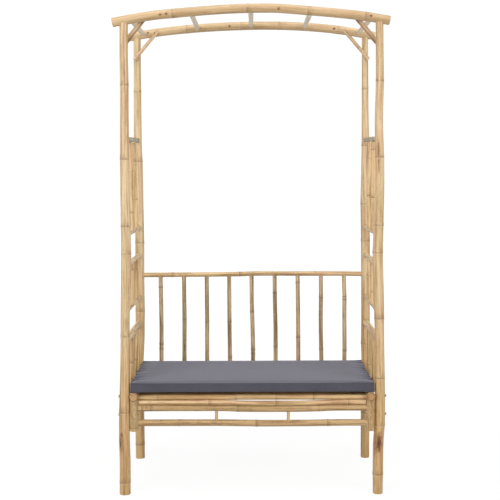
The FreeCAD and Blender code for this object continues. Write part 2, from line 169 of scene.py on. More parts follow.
# the skin's long streaks, blushes and mottling
skin, put, out = effect(
    "culm_skin", {"Vector": "Place", "Float": "Tone Streaks Mottle", "Color": "Honey Pale Deep Blush Olive"},
    {"Color": "Color", "Float": "Roughness Height"})
broad = fibres(put["Place"], 34, 2.2)
lanes = fibres(put["Place"], 72, 2.6)
bands = fibres(put["Place"], 125, 4.6)
threads = fibres(put["Place"], 330, 9, 3.0)
hairs = fibres(put["Place"], 1500, 14)
clouds = fibres(put["Place"], 46, 17, 3.0, 0.65)
specks = fibres(put["Place"], 170, 70, 3.0, 0.7)
colour = tint(0.68, tint(fade(put["Tone"], 0.0, 1.0), put["Deep"], put["Pale"]), put["Honey"])
brown = tint(0.6, put["Deep"], (0.10, 0.042, 0.014, 1))
mottled = fade(clouds, 0.53, 0.72, 0.0, put["Mottle"])
for amount, layer in (
        (fade(broad, 0.44, 0.60, 0.0, 0.7), put["Pale"]),
        (fade(lanes, 0.50, 0.66, 0.0, 0.75), put["Olive"]),
        (fade(lanes, 0.49, 0.35, 0.0, 0.65), put["Blush"]),
        (fade(bands, 0.49, 0.35, 0.0, put["Streaks"]), put["Deep"]),
        (fade(bands, 0.53, 0.67, 0.0, 0.6), put["Pale"]),
        (fade(threads, 0.54, 0.68, 0.0, put["Streaks"]), put["Deep"]),
        (fade(threads, 0.46, 0.34, 0.0, 0.4), put["Pale"]),
        (mottled, brown),
        (fade(specks, 0.60, 0.72, 0.0, put["Mottle"]), brown),
        (fade(specks, 0.47, 0.36, 0.0, times(put["Mottle"], 0.8)), put["Pale"])):
    colour = tint(amount, colour, layer)
link(colour, out["Color"])
link(plus(fade(threads, 0.3, 0.7, 0.40, 0.58), times(mottled, 0.15)), out["Roughness"])
link(plus(times(threads, 0.6), times(hairs, 0.4)), out["Height"])

# the rings: a waxy band under the scar, the scar's dark line, and a brown stain that fades above it
collar, put, out = effect(
    "culm_collar", {"Vector": "Place Ring", "Color": "Color Wax Stain", "Float": "Strength"},
    {"Color": "Color", "Float": "Height"})
away, above, tone = axes(put["Ring"])
strength = times(put["Strength"], fade(tone, 0.0, 1.0, 0.45, 1.0))
ragged = plus(away, fade(fibres(put["Place"], 90, 60), 0.3, 0.7, -1.2, 1.2))
wax = times(fade(ragged, 9.0, 3.0, 0.0, 0.25), minus(1.0, above))
patchy = fade(fibres(put["Place"], 60, 30), 0.38, 0.62)
stain = times(fade(ragged, 30.0, 3.0, 0.0, 0.42), times(patchy, above))
groove = times(fade(maths("ABSOLUTE", minus(ragged, 2.4)), 1.4, 0.2), times(above, strength))
line = times(fade(away, 1.3, 0.3), strength)
colour = put["Color"]
for amount, layer in (
        (wax, put["Wax"]), (stain, put["Stain"]), (groove, put["Stain"]), (line, paint("704e30"))):
    colour = tint(amount, colour, layer)
link(colour, out["Color"])
link(minus(0.0, plus(line, groove)), out["Height"])

# the scar that a branch leaves: a dark eye in a brown halo
branch_scar, put, out = effect(
    "branch_scar", {"Vector": "Place Scar", "Color": "Color"}, {"Color": "Color", "Float": "Height"})
along, across, dark = axes(put["Scar"])
along = times(along, 0.62)
apart = maths("SQRT", plus(times(along, along), times(across, across)))
frayed = plus(apart, fade(fibres(put["Place"], 150, 60, 3.0), 0.3, 0.7, -1.6, 1.6))
halo = times(fade(frayed, 9.0, 3.0), fade(dark, 0.0, 1.0, 0.3, 0.95))
eye = times(fade(frayed, 4.6, 1.6), dark)
pupil = times(fade(apart, 1.3, 0.6), dark)
colour = tint(halo, put["Color"], paint("926238"))
colour = tint(times(eye, 0.85), colour, paint("54321a"))
link(tint(pupil, colour, paint("3a2212")), out["Color"])
link(minus(pupil, eye), out["Height"])


def bamboo(name, colours, streaks=0.6, mottle=0.2, ring_line=0.8, foot=None):
    """Material of a culm's skin, read from the grain, ring and scar attributes of its mesh.

    The colours are honey, pale, deep, blush and olive. A foot colour is painted shade: it darkens and warms
    the skin from a metre high down to the ground.
    """
    honey, pale, deep, blush, olive = (paint(code) for code in colours.split())
    material, tree, shader = new_material(name, Coat_Weight=0.12, Coat_Roughness=0.35)
    place, near, mark = (kept_vector(tree, key) for key in ("grain", "ring", "scar"))
    base = use(skin, Place=place, Tone=axes(near)[2], Honey=honey, Pale=pale, Deep=deep, Blush=blush,
               Olive=olive, Streaks=streaks, Mottle=mottle)
    ground = base["Color"]
    # painted shade: the foot colour multiplies the skin darker and warmer lower down, where less light falls
    if foot:
        ground = tint(fade(axes(object_place(tree))[2], 1.0, 0.1), ground, paint(foot), "MULTIPLY")
    ringed = use(collar, Place=place, Ring=near, Color=ground, Wax=pale,
                 Stain=paint(colours.split()[2], 0.72), Strength=ring_line)
    marked = use(branch_scar, Place=place, Scar=mark, Color=ringed["Color"])
    link(marked["Color"], shader["Base Color"])
    link(base["Roughness"], shader["Roughness"])
    emboss(shader, plus(base["Height"], times(plus(ringed["Height"], marked["Height"]), 2.0)), 0.35, 0.0006)
    return material


def sawn(name, ground, fibre, edge, shade_rim_r=1.0):
    """Material of a sawn end: pale ground, dark fibre ends, and a painted shade rim near the outer radius
    given, for the contact shadow round the end.
    """
    material, tree, shader = new_material(name, Roughness=0.82)
    place = kept_vector(tree, "grain")
    tone = axes(kept_vector(tree, "ring"))[2]
    dots = fade(fibres(place, 2300, 900, 2.0, 0.6), 0.50, 0.66)
    worn = fade(fibres(place, 130, 60, 3.0, 0.6), 0.46, 0.66)
    out_r = size_of(stretch(place, (1, 1, 0)))
    colour = tint(times(dots, 0.5), paint(ground), paint(fibre))
    colour = tint(times(worn, 0.55), colour, paint(edge))
    colour = tint(fade(tone, 0.0, 1.0, 0.0, 0.25), colour, paint(edge))
    # painted shade: a dark ring near the outer radius stands in for the contact shadow round the end
    colour = tint(fade(out_r, 0.76 * shade_rim_r, 0.94 * shade_rim_r, 0.0, 0.9), colour, paint("603e24"))
    link(colour, shader["Base Color"])
    emboss(shader, dots, 0.4, 0.0005)
    return material


# the foot colours of the two leg skins are painted shade towards the ground
leg_skin = bamboo(
    "bamboo_leg_skin", "c8a77b dec59c 9c7448 d2a483 b49e67", streaks=0.65, mottle=0.22,
    ring_line=0.55, foot="f1e3ca")
# a lighter copy of the leg skin, painted light against the shade of the seat on the rear legs; the spacers
# and slats take it too
lightened_leg_skin = bamboo(
    "bamboo_rear_leg_skin", "ccab7e e2caa0 a0784c d6a886 b8a169", streaks=0.55, mottle=0.18,
    ring_line=0.55, foot="fff2d8")
cut_wood = sawn("bamboo_cut_wood", "dec092", "966c42", "b08658")

# rise of the surface round a ring, both in millimetres, on a culm of 20 mm radius
ring_profile = ((-16, 0.0), (-9, 0.12), (-4, 0.3), (-1.4, 0.62), (-0.4, 1.15), (0.5, 1.1), (1.4, 0.3),
                (2.8, 0.35), (5.0, 0.95), (7.5, 0.85), (11, 0.3), (16, 0.06), (24, 0.0))
mm = 0.001
flat_edge = 2.6 * mm
end_chamfer = 0.0006
# how much a culm narrows between its rings and is off round, as shares of its radius
waist, out_of_round = 0.012, 0.012
# what a place says that has no ring, or no scar, near it
no_ring, no_scar = 80.0, (60.0, 60.0, 0.0)
# bore of an end by shares of its outer radius and millimetres of depth
end_rows = {"sawn": ((0.70, 0.0), (0.66, 1.0), (0.30, 1.6), (0.06, 1.3)),
            "open": ((0.66, 0.0), (0.60, 1.0), (0.58, 12.0), (0.58, 34.0), (0.2, 36.0))}


def new_bundle():
    """An empty mesh for culms, with the attributes that their materials read."""
    bundle = bmesh.new()
    for key in ("grain", "ring", "scar"):
        bundle.verts.layers.float_vector.new(key)
    bundle.verts.layers.float.new("turn")
    return bundle


def marks(bundle):
    """The attributes grain, ring, scar and turn of a bundle."""
    vectors = bundle.verts.layers.float_vector
    return vectors["grain"], vectors["ring"], vectors["scar"], bundle.verts.layers.float["turn"]


def straight(start, end):
    """Centre line of a straight culm, by distance from its start."""
    start, end = Vector(start), Vector(end)
    along = (end - start).normalized()
    return (lambda t: start + along * t), (end - start).length


def scattered(name, length, gap):
    """Places of rings about a gap apart along the culm of a name."""
    draw = random.Random(name + " rings")
    places = [draw.uniform(0.15, 0.85) * gap]
    while places[-1] < length:
        places.append(places[-1] + gap * draw.uniform(0.86, 1.12))
    return [place for place in places if 0.022 < place < length - 0.022]


def pull(bundle, loop):
    """The loop of edges pulled out once: its new corners, edges and faces."""
    made = bmesh.ops.extrude_edge_only(bundle, edges=loop)["geom"]
    verts = [part for part in made if isinstance(part, bmesh.types.BMVert)]
    fresh = set(verts)
    edges = [part for part in made if isinstance(part, bmesh.types.BMEdge) and fresh.issuperset(part.verts)]
    return verts, edges, [part for part in made if isinstance(part, bmesh.types.BMFace)]


def ramp(places, t):
    """The value at a distance, straight between (distance, value) places."""
    for (t0, d0), (t1, d1) in zip(places, places[1:]):
        if t <= t1:
            return d0 + (d1 - d0) * max(t - t0, 0) / (t1 - t0)
    return places[-1][1]


def between(places):
    """The measure at a distance, between (distance, millimetres) places and a little eased at each."""
    return lambda t: (ramp(places, t - 0.02) + ramp(places, t) + ramp(places, t + 0.02)) / 3 * mm


def drifting(places, way=(1, 0, 0)):
    """Drift off a straight line through (distance, millimetres) places."""
    drift = between(places)
    return lambda t: Vector(way) * drift(t)


def grow_culm(bundle, name, line, length, radius, rings=(), scars=(), sides=28, step=0.035, bend=0.0008,
              drift=None, across=(0, 1, 0), ends=("blind", "blind"), flats=(), ring_size=1.0):
    """Adds one culm, grown ring by ring along its line.

    radius is (at the start, at the end), or the radius by distance. rings are distances of the joints,
    and scars are (distance, angle, length, width, darkness), length and width as multiples of a bud's.
    flats are places where the skin is cut back: (centre, outward direction, half width). An end is
    blind, sawn or open.
    """
    draw = random.Random(name)
    grain, ring, scar, turn = marks(bundle)
    thickness = radius if callable(radius) else between(((0, radius[0] / mm), (length, radius[1] / mm)))
    mean_r = thickness(length / 2)
    size = ring_size * (0.35 + 0.65 * mean_r / 0.020)
    reach = 0.4 + 0.6 * mean_r / 0.020
    shift = draw.uniform(0, 40)
    rings = sorted(rings)
    heights = [size * draw.uniform(0.8, 1.2) for _ in rings]
    tones = [draw.random() for _ in range(len(rings) + 1)]
    kinks = [(0.0, Vector((0, 0)))]
    for i, place in enumerate(rings):
        heading = draw.uniform(0, tau)
        kinks.append((place, bend * (-1) ** i * Vector((cos(heading), sin(heading)))))
    kinks.append((length, Vector((0, 0))))
    stations = {0.0, length}
    stations.update(step * i for i in range(1, int(length / step)))
    for place in rings:
        stations.update(place + reach * offset * mm for offset, _ in ring_profile)
    for place, _, long, _, _ in scars:
        stations.update(place + long * offset * mm for offset in (-12, -7, -4, -2, 0, 2, 4, 7, 12))
    for centre, _, half in flats:
        level = (Vector(centre) - line(0)).dot((line(length) - line(0)).normalized())
        stations.update(level + half * k / 6 for k in range(-9, 10))
    stations = sorted(t for t in stations if 0 <= t <= length)
    kept = [stations[0]]
    for t in stations[1:]:
        if t - kept[-1] > 0.00035 or t == length:
            kept.append(t)
    stations = [t for t in kept if not 0 < t < end_chamfer and not length - end_chamfer < t < length]
    stations[1:1] = [end_chamfer]
    stations[-1:-1] = [length - end_chamfer]

    def outline(t):
        """Centre, frame and radius of the culm at a distance along it."""
        ahead = (line(min(t + 0.001, length)) - line(max(t - 0.001, 0.0))).normalized()
        u = Vector(across)
        u = (u - ahead * u.dot(ahead)).normalized()
        v = ahead.cross(u)
        kink = ramp(kinks, t)
        centre = line(t) + u * kink.x + v * kink.y
        if drift:
            centre += drift(t)
        r = thickness(t)
        joints = [0.0] + rings + [length]
        for t0, t1 in zip(joints, joints[1:]):
            if t0 <= t <= t1:
                r *= 1 - waist * sin(pi * (t - t0) / max(t1 - t0, 1e-6))
        for place, height in zip(rings, heights):
            d = (t - place) / mm / reach
            if ring_profile[0][0] < d < ring_profile[-1][0]:
                for (d0, h0), (d1, h1) in zip(ring_profile, ring_profile[1:]):
                    if d0 <= d <= d1:
                        r += height * mm * (h0 + (h1 - h0) * (d - d0) / (d1 - d0))
        return centre, u, v, ahead, r

    def lay_ring(verts, t, centre, u, v, r):
        """Places a ring of corners round the centre and writes what the skin reads from them."""
        away, above = no_ring, 1.0
        if rings:
            nearest = min(rings, key=lambda place: abs(place - t))
            away = min(abs(t - nearest) / mm / reach, no_ring)
            above = 1.0 if t >= nearest else 0.0
        tone = tones[sum(place <= t for place in rings)]
        for vert in verts:
            angle = vert[turn]
            spoke = u * cos(angle) + v * sin(angle)
            co = centre + spoke * r * (1 + out_of_round * cos(2 * angle + shift))
            for at, outward, half in flats:
                out_way = Vector(outward)
                off = co - Vector(at)
                proud = off.dot(out_way)
                beside = (off - out_way * proud).length - half
                if proud > 0 and beside < flat_edge:
                    co = co - out_way * proud * min(1.0, 1 - beside / flat_edge)
            vert.co = co
            vert[grain] = (r * cos(angle), r * sin(angle), t + shift)
            vert[ring] = (away, above, tone)
            offsets = [Vector(no_scar)]
            for place, facing, long, broad, dark in scars:
                swing = abs((angle - facing + pi) % tau - pi)
                offsets.append(Vector((abs(t - place) / mm / long, swing * r / mm / broad, dark)))
            vert[scar] = min(offsets, key=lambda offset: offset.xy.length)

    first = bmesh.ops.create_circle(bundle, segments=sides, radius=1.0)["verts"]
    for vert in first:
        vert[turn] = atan2(vert.co.y, vert.co.x)
    rim = edges = list({edge for vert in first for edge in vert.link_edges})
    for t in stations:
        verts = first
        if t > 0:
            verts, edges, _ = pull(bundle, edges)
        centre, u, v, _, r = outline(t)
        lay_ring(verts, t, centre, u, v, r - (end_chamfer if t in (0, length) else 0.0))
    for kind, loop, t, way in ((ends[0], rim, 0.0, -1), (ends[1], edges, length, 1)):
        centre, u, v, ahead, r = outline(t)
        cut_faces = []
        for share, sink in end_rows.get(kind, ()):
            verts, loop, faces = pull(bundle, loop)
            lay_ring(verts, t, centre - ahead * way * sink * mm, u, v, r * share)
            cut_faces += faces
        cut_faces += bmesh.ops.contextual_create(bundle, geom=loop)["faces"]
        for face in cut_faces:
            face.material_index = 1


def as_mesh(bundle, name):
    mesh = bpy.data.meshes.new(name)
    bundle.to_mesh(mesh)
    bundle.free()
    return mesh


def new_object(name, data):
    made = bpy.data.objects.new(name, data)
    bpy.context.scene.collection.objects.link(made)
    return made


def finish_bundle(bundle, name, node, materials):
    """The bundle made a piece of the frame that stands for its CAD node."""
    bmesh.ops.recalc_face_normals(bundle, faces=bundle.faces)
    for face in bundle.faces:
        face.smooth = True
    for edge in bundle.edges:
        if len(edge.link_faces) == 2 and edge.calc_face_angle() > radians(40):
            edge.smooth = False
    mesh = as_mesh(bundle, name)
    mesh.attributes.remove(mesh.attributes["turn"])
    for material in materials:
        mesh.materials.append(material)
    piece = new_object(name, mesh)
    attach(piece, "frame")
    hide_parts(node)


def single_culm(kind, node, skin, line, length, radius, rings=(), cut=cut_wood, slot="bamboo_cane",
                **shape):
    """A piece of one culm, its skin and its sawn ends each of a material."""
    bundle = new_bundle()
    grow_culm(bundle, node, line, length, radius, rings, **shape)
    finish_bundle(bundle, f"{kind}_{node}", node, (skin, cut))


def box_centre(node):
    low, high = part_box(node)
    return (low + high) / 2


leg_top_z = 1.9736
bolt_levels = (0.409, 0.333)
spot_face_x, spot_face_r = 0.01975, 6.6 * mm
# each leg's radius and bow to the right, in millimetres by height, its rings and its branch scars
legs = {
    "front_left": (
        ((0, 23.0), (0.22, 22.8), (0.42, 21.8), (0.55, 20.4), (0.64, 19.3), (0.74, 19.3), (0.83, 20.8),
         (1.06, 20.8), (1.35, 19.6), (1.59, 18.3), (1.95, 17.2)),
        ((0, 0.5), (0.12, 1.5), (0.25, -1.5), (0.36, -0.5), (0.45, 1.6), (0.55, 3.0), (0.64, 4.2),
         (0.74, 4.4), (0.83, 7.6), (1.02, 10.5), (1.118, 8.9), (1.397, 5.8), (1.55, 6.0), (1.705, 6.5),
         (1.83, 4.6), (1.95, 5.2)),
        (0.049, 0.342, 0.659, 1.003, 1.118, 1.397, 1.705),
        ((0.213, 2.2, 3.4, 2.6, 0.9), (0.252, 2.7, 1.0, 1.2, 0.6), (0.715, 3.5, 2.6, 1.4, 0.1),
         (1.755, 3.25, 7.0, 0.9, 0.15))),
    "front_right": (
        ((0, 20.5), (0.06, 21.5), (0.22, 22.1), (0.31, 21.0), (0.45, 20.9), (0.55, 19.8), (0.70, 19.5),
         (0.76, 21.2), (0.9, 21.6), (1.06, 21.5), (1.35, 19.0), (1.59, 17.3), (1.95, 16.0)),
        ((0, -11.0), (0.12, -10.0), (0.21, -9.0), (0.30, -1.0), (0.40, -0.2), (0.45, -0.9), (0.52, -0.9),
         (0.731, -3.5), (1.006, -9.5), (1.12, -6.0), (1.29, -0.4), (1.403, -0.8), (1.56, -4.3),
         (1.718, 0.5), (1.95, -1.0)),
        (0.080, 0.286, 0.482, 0.731, 1.006, 1.120, 1.403, 1.718),
        ((0.214, 3.1, 4.4, 2.7, 1.0), (0.208, 4.35, 1.2, 0.9, 1.0), (1.435, 2.75, 4.2, 0.8, 0.6),
         (1.380, 2.8, 3.6, 0.7, 0.5))),
    "rear_left": (
        ((0, 21.6), (0.35, 21.8), (0.68, 22.0), (1.02, 21.6), (1.30, 20.0), (1.52, 18.8), (1.72, 17.4),
         (1.95, 16.8)),
        ((0, 6.5), (0.20, 5.0), (0.31, 1.2), (0.43, 1.8), (0.56, 8.0), (0.677, 9.4), (0.84, 8.4),
         (1.01, 9.0), (1.17, 7.4), (1.391, 6.0), (1.45, 2.8), (1.714, 2.4), (1.95, 1.8)),
        (0.064, 0.335, 0.690, 1.010, 1.391, 1.714), ((0.69, 4.9, 1.0, 1.0, 1.0),)),
    "rear_right": (
        ((0, 20.3), (0.30, 21.0), (0.44, 21.0), (0.68, 20.9), (1.02, 21.3), (1.30, 19.5), (1.52, 17.6),
         (1.65, 15.8), (1.95, 14.6)),
        ((0, -6.0), (0.20, -4.5), (0.31, -0.3), (0.43, -0.3), (0.534, -3.0), (0.68, -2.3), (0.84, -2.4),
         (1.015, -2.0), (1.189, -5.0), (1.46, -1.4), (1.62, -2.5), (1.724, -2.5), (1.95, -3.0)),
        (0.210, 0.534, 1.015, 1.189, 1.460, 1.724), ((1.20, 4.5, 1.0, 1.0, 1.0),)),
}
leg_drift = {}
for corner, (radii, bow, places, scars) in legs.items():
    node = "leg_" + corner
    foot = box_centre(node)
    side = copysign(1, foot.x)
    leg_drift[corner] = drifting(bow)
    line, length = straight((foot.x, foot.y, 0), (foot.x, foot.y, leg_top_z))
    flats = [((foot.x + side * spot_face_x, foot.y, z), (side, 0, 0), spot_face_r) for z in bolt_levels]
    single_culm("culm", node, lightened_leg_skin if "rear" in corner else leg_skin, line, length,
                between(radii), places, slot="bamboo_leg", scars=scars, sides=56, bend=0.0,
                drift=leg_drift[corner], ends=("open", "blind"), flats=flats, ring_size=0.8)


# Arches
# Two thick culms bent over the front and the rear pair of legs, their sawn ends left showing.
# Steamed and bent, so their skin is a little greyer, with the scars of side branches on it.

arch_half, arch_drop, arch_peak = 0.576, 0.054, 2.020
arch_bend = (arch_half ** 2 + arch_drop ** 2) / (2 * arch_drop)
arch_turn = asin(arch_half / arch_bend)


def arch_line(y):
    """Centre line of an arch, by distance from its left end."""
    def line(t):
        angle = t / arch_bend - arch_turn
        return Vector((arch_bend * sin(angle), y, arch_peak - arch_bend + arch_bend * cos(angle)))
    return line, 2 * arch_turn * arch_bend


def arch_place(x):
    """Distance along an arch of the place above x."""
    return (asin(x / arch_bend) + arch_turn) * arch_bend


# each arch's skin, places of its rings and branch scars, and its rise in millimetres by place
arches = {
    "front": (
        bamboo(
            "bamboo_arch_skin", "be9f73 d2b48a 9c7b52 c49f78 b19768", streaks=0.4, mottle=0.22,
            ring_line=0.3),
        (-0.33, -0.02, 0.234, 0.47), ((-0.376, 3.3), (-0.351, 3.2), (0.114, 3.3), (0.496, 3.0)),
        ((-0.57, 0), (-0.40, 2.0), (-0.32, -0.3), (-0.19, 0), (-0.02, 3.0), (0.105, 5.0), (0.234, 1.5),
         (0.36, 2.5), (0.47, 5.0), (0.57, 4.8))),
    "rear": (
        bamboo(
            "bamboo_rear_arch_skin", "cbac7f dec196 a8865c d0ab83 bea474", streaks=0.4,
            mottle=0.22, ring_line=0.3),
        (-0.303, -0.05, 0.124, 0.40), ((-0.479, 3.0), (-0.101, 3.2), (0.385, 3.1)),
        ((-0.57, 3.5), (-0.42, 3.6), (-0.303, 2.0), (-0.12, 1.2), (0.03, 3.0), (0.124, 5.2), (0.25, 7.0),
         (0.36, 9.0), (0.45, 8.5), (0.57, 6.5))),
}
arch_drift = {}
for end, (arch_skin, places, scars, rises) in arches.items():
    node = "arch_" + end
    line, length = arch_line(box_centre(node).y)
    arch_drift[end] = drifting([(arch_place(x), rise) for x, rise in rises], (0, 0, 1))
    single_culm("culm", node, arch_skin, line, length, (0.0196, 0.0196), [arch_place(x) for x in places],
                slot="bamboo_arch", scars=[(arch_place(x), angle, 0.62, 0.95, 1.0) for x, angle in scars],
                sides=36, ends=("open", "open"), ring_size=0.42, bend=0.0, drift=arch_drift[end])


# Roof rungs
# Five straight pale canes from arch to arch, tenoned into their inner faces.

cane_skin = bamboo(
    "bamboo_cane_skin", "cba672 e6c898 966e42 d4a47c b2985e", streaks=0.75, ring_line=0.7)
dark_cane_skin = bamboo(
    "bamboo_dark_cane_skin", "b4966c d8be96 765c3a be9474 948656", streaks=0.9, mottle=0.35,
    ring_line=0.85)
# the rungs' skin is partly their own pale colour and partly painted light, lifted so their shaded undersides
# read as bright as when lit from the white floor
pale_lightened_rung_skin = bamboo(
    "bamboo_pale_cane_skin", "e2d4ba ece2ce c6b08e e0ccb2 d4c6a6", streaks=0.4, mottle=0.1,
    ring_line=0.6)
# the side top rails' skin: an olive tone of their own, darkened further as painted shade of their undersides
# seen from below
olive_shaded_rail_skin = bamboo(
    "bamboo_olive_cane_skin", "92805a c8b486 584c32 9c7e56 746c48", streaks=0.9, mottle=0.6,
    ring_line=0.85)
rung_inset, rail_inset = 0.011, 0.009
taper = 0.98


def along_box(node, axis, inset):
    """Centre line of a straight CAD pole, its tenons' hidden ends left out."""
    low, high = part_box(node)
    start, end = (low + high) / 2, (low + high) / 2
    start[axis] = low[axis] + inset
    end[axis] = high[axis] - inset
    return straight(start, end)


for number in range(1, 6):
    node = f"roof_rung_{number}"
    line, length = along_box(node, 1, rung_inset)
    start, end = line(0), line(length)
    line, length = straight(start + arch_drift["front"](arch_place(start.x)),
                            end + arch_drift["rear"](arch_place(end.x)))
    single_culm("cane", node, pale_lightened_rung_skin, line, length, (0.011, 0.0108),
                scattered(node, length, 0.26), sides=24, across=(1, 0, 0))


# Corner braces
# Strips split from a larger culm, nailed across the inner faces of each arch and its leg.
# The skin faces the middle of the seat and the split edges and hollow back stay pale and brown, with painted
# shade along the back's low side.

def split_wood(name, ground, fibre, shade, low_side_shade=0.0):
    """Material of the inside of a split culm: straight fibres, soft and dull, with painted shade darkening
    its low side.
    """
    material, tree, shader = new_material(name, Roughness=0.78)
    place = kept_vector(tree, "grain")
    lines = fade(fibres(place, 900, 9, 3.0, 0.6), 0.42, 0.62)
    stains = fade(fibres(place, 60, 14, 3.0, 0.6), 0.44, 0.66)
    colour = tint(times(lines, 0.45), paint(ground), paint(fibre))
    colour = tint(times(stains, 0.5), colour, paint(shade))
    # painted shade: the low side of the hollow back darkens to brown
    colour = tint(fade(axes(place)[0], 0.0005, -0.0055, 0.0, low_side_shade), colour, paint("886444"))
    link(colour, shader["Base Color"])
    emboss(shader, lines, 0.5, 0.0005)
    return material


strip_skin = bamboo(
    "split_bamboo_skin", "c6a680 dcc09c 9c7852 cea682 b29a6c", mottle=0.22, ring_line=0.6)
strip_edge = split_wood("split_bamboo_edge", "ecd6b2", "d0b286", "d6ba90")
strip_back = split_wood("split_bamboo_back", "d6b894", "ac8864", "b89470", low_side_shade=0.8)
strip_r, strip_wall, strip_twist = 0.0195, 0.0048, radians(16)
strip_half_across, strip_proud, strip_steps = 0.0105, 0.003, 12
strip_shifts = {"front_left": (0, -9), "front_right": (0, 3), "rear_left": (-3, -5), "rear_right": (5, 5)}
strip_outline = []
for surface_r, first, last in ((strip_r, -33, 20), (strip_r - strip_wall, 50, -36)):
    for number in range(strip_steps + 1):
        angle = radians(first + (last - first) * number / strip_steps)
        strip_outline.append(
            (surface_r * sin(angle), surface_r * cos(angle) - strip_r + strip_proud))
for corner in legs:
    node = "brace_" + corner
    low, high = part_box(node)
    side = copysign(1, low.x + high.x)
    front = -1 if "front" in corner else 1
    depth = (low.y + high.y) / 2 - front * 0.001
    foot = Vector((high.x if side > 0 else low.x, depth, low.z))
    top = Vector((low.x if side > 0 else high.x, depth, high.z))
    foot.x += strip_shifts[corner][0] * mm
    top.x += strip_shifts[corner][1] * mm
    slope = (top - foot).normalized()
    out_way = Vector((slope.z, 0, -slope.x)) * side
    foot += slope * strip_half_across * 0.55 - out_way * strip_half_across * 0.75
    top -= slope * strip_half_across * 0.55 + out_way * strip_half_across * 0.75
    lift = out_way * sin(strip_twist) + Vector((0, -front, 0)) * cos(strip_twist)
    wide = slope.cross(lift)
    wide *= copysign(1, wide.dot(out_way))
    draw = random.Random(node)
    shift, ring_at = draw.uniform(0, 40), draw.uniform(0.3, 0.7)
    length = (top - foot).length
    bundle = new_bundle()
    grain, ring, scar, turn = marks(bundle)
    verts = bmesh.ops.create_circle(bundle, segments=len(strip_outline), radius=1.0, cap_ends=True)["verts"]
    for index, vert in enumerate(sorted(verts, key=lambda v: atan2(v.co.y, v.co.x))):
        vert[turn] = index
    loop = list({edge for vert in verts for edge in vert.link_edges})
    shares = [i / 14 for i in range(15)] + [ring_at + d / length for d in (-0.004, -0.001, 0.001, 0.005)]
    for share in sorted(shares):
        if share > 0:
            verts, loop, _ = pull(bundle, loop)
        away = (share - ring_at) * length / mm
        swell = mm * max(0.0, 1 - abs(away - 2) / 6) * 0.9
        sway = mm * 0.25 * sin(pi * share) * draw.choice((-1, 1))
        for vert in verts:
            x, y = strip_outline[round(vert[turn])]
            proud = swell if vert[turn] <= strip_steps else 0
            vert.co = foot.lerp(top, share) + wide * (x + sway) + lift * (y + proud)
            vert[grain] = (x, y, share * length + shift)
            vert[ring] = (min(abs(away), no_ring), 1.0 if away > 0 else 0.0, 0.5)
            vert[scar] = no_scar
    bmesh.ops.contextual_create(bundle, geom=loop)
    bundle.normal_update()
    for face in bundle.faces:
        numbers = sorted({round(vert[turn]) for vert in face.verts})
        split_sides = ([strip_steps, strip_steps + 1], [0, len(strip_outline) - 1])
        if len(numbers) > 2 or numbers in split_sides:
            face.material_index = 1
        elif numbers[0] > strip_steps:
            face.material_index = 2
    finish_bundle(bundle, "strip_" + node, node, (strip_skin, strip_edge, strip_back))


# Trellis sides
# Six rails on each side run from front leg to rear leg, the arm rail thicker than the others,
# with pairs of upright sticks let into the rails of three bays.

top_rail_rise = 0.008
# the bays' heights, and the sticks' places front to back and how far they stand in from the rails
bays = ((0.409, 0.627), (0.768, 0.948), (1.091, 1.475))
bay_sticks = ((-0.0833, 0.0036), (0.0833, 0.0012))
for side_name in ("left", "right"):
    front_drift, rear_drift = (leg_drift[f"{end}_{side_name}"] for end in ("front", "rear"))
    for rail in ("top_rail", "upper_mid_rail", "lower_mid_rail", "window_rail", "arm_rail", "base_rail"):
        node = f"{side_name}_{rail}"
        rail_r = 0.015 if rail == "arm_rail" else 0.011
        line, length = along_box(node, 1, rail_inset)
        start, end = line(0), line(length)
        start += front_drift(start.z)
        end += rear_drift(end.z)
        if rail == "top_rail":
            end.z += top_rail_rise
        line, length = straight(start, end)
        # the top rails take the olive skin darkened with painted shade
        single_culm("cane", node, olive_shaded_rail_skin if rail == "top_rail" else cane_skin,
                    line, length, (rail_r, rail_r * taper), scattered(node, length, 0.27), sides=26,
                    across=(1, 0, 0))
    node = f"{side_name}_panel_sticks"
    bundle = new_bundle()
    rail_x = box_centre(node).x
    for low_z, high_z in bays:
        for y, inward in bay_sticks:
            label = f"{node} {low_z} {y}"
            foot, top = (
                Vector((rail_x - copysign(inward, rail_x), y, z))
                + front_drift(z).lerp(rear_drift(z), y / 0.5 + 0.5) for z in (low_z, high_z))
            line, length = straight(foot, top)
            grow_culm(bundle, label, line, length, (0.0110, 0.0106), scattered(label, length, 0.19), sides=22)
    finish_bundle(bundle, "canes_" + node, node, (cane_skin, cut_wood))


# Back
# A top rail and nine upright spindles, tenoned into it and into a base rail behind the pad.

back_rings = {"back_top_rail": (-0.375, -0.06, 0.293), "back_base_rail": (-0.34, 0.02, 0.33)}
back_rises = ((0.0, 0.0), (0.25, 1.0), (0.45, 2.5), (0.55, 5.5), (0.75, 4.5), (0.95, 3.5), (1.05, 1.0))
for node, places in back_rings.items():
    line, length = along_box(node, 0, rail_inset)
    single_culm("cane", node, cane_skin, line, length, (0.0113, 0.011),
                [x + length / 2 for x in places], sides=26, bend=0.0004,
                drift=drifting(back_rises, (0, 0, 1)) if "top" in node else None)
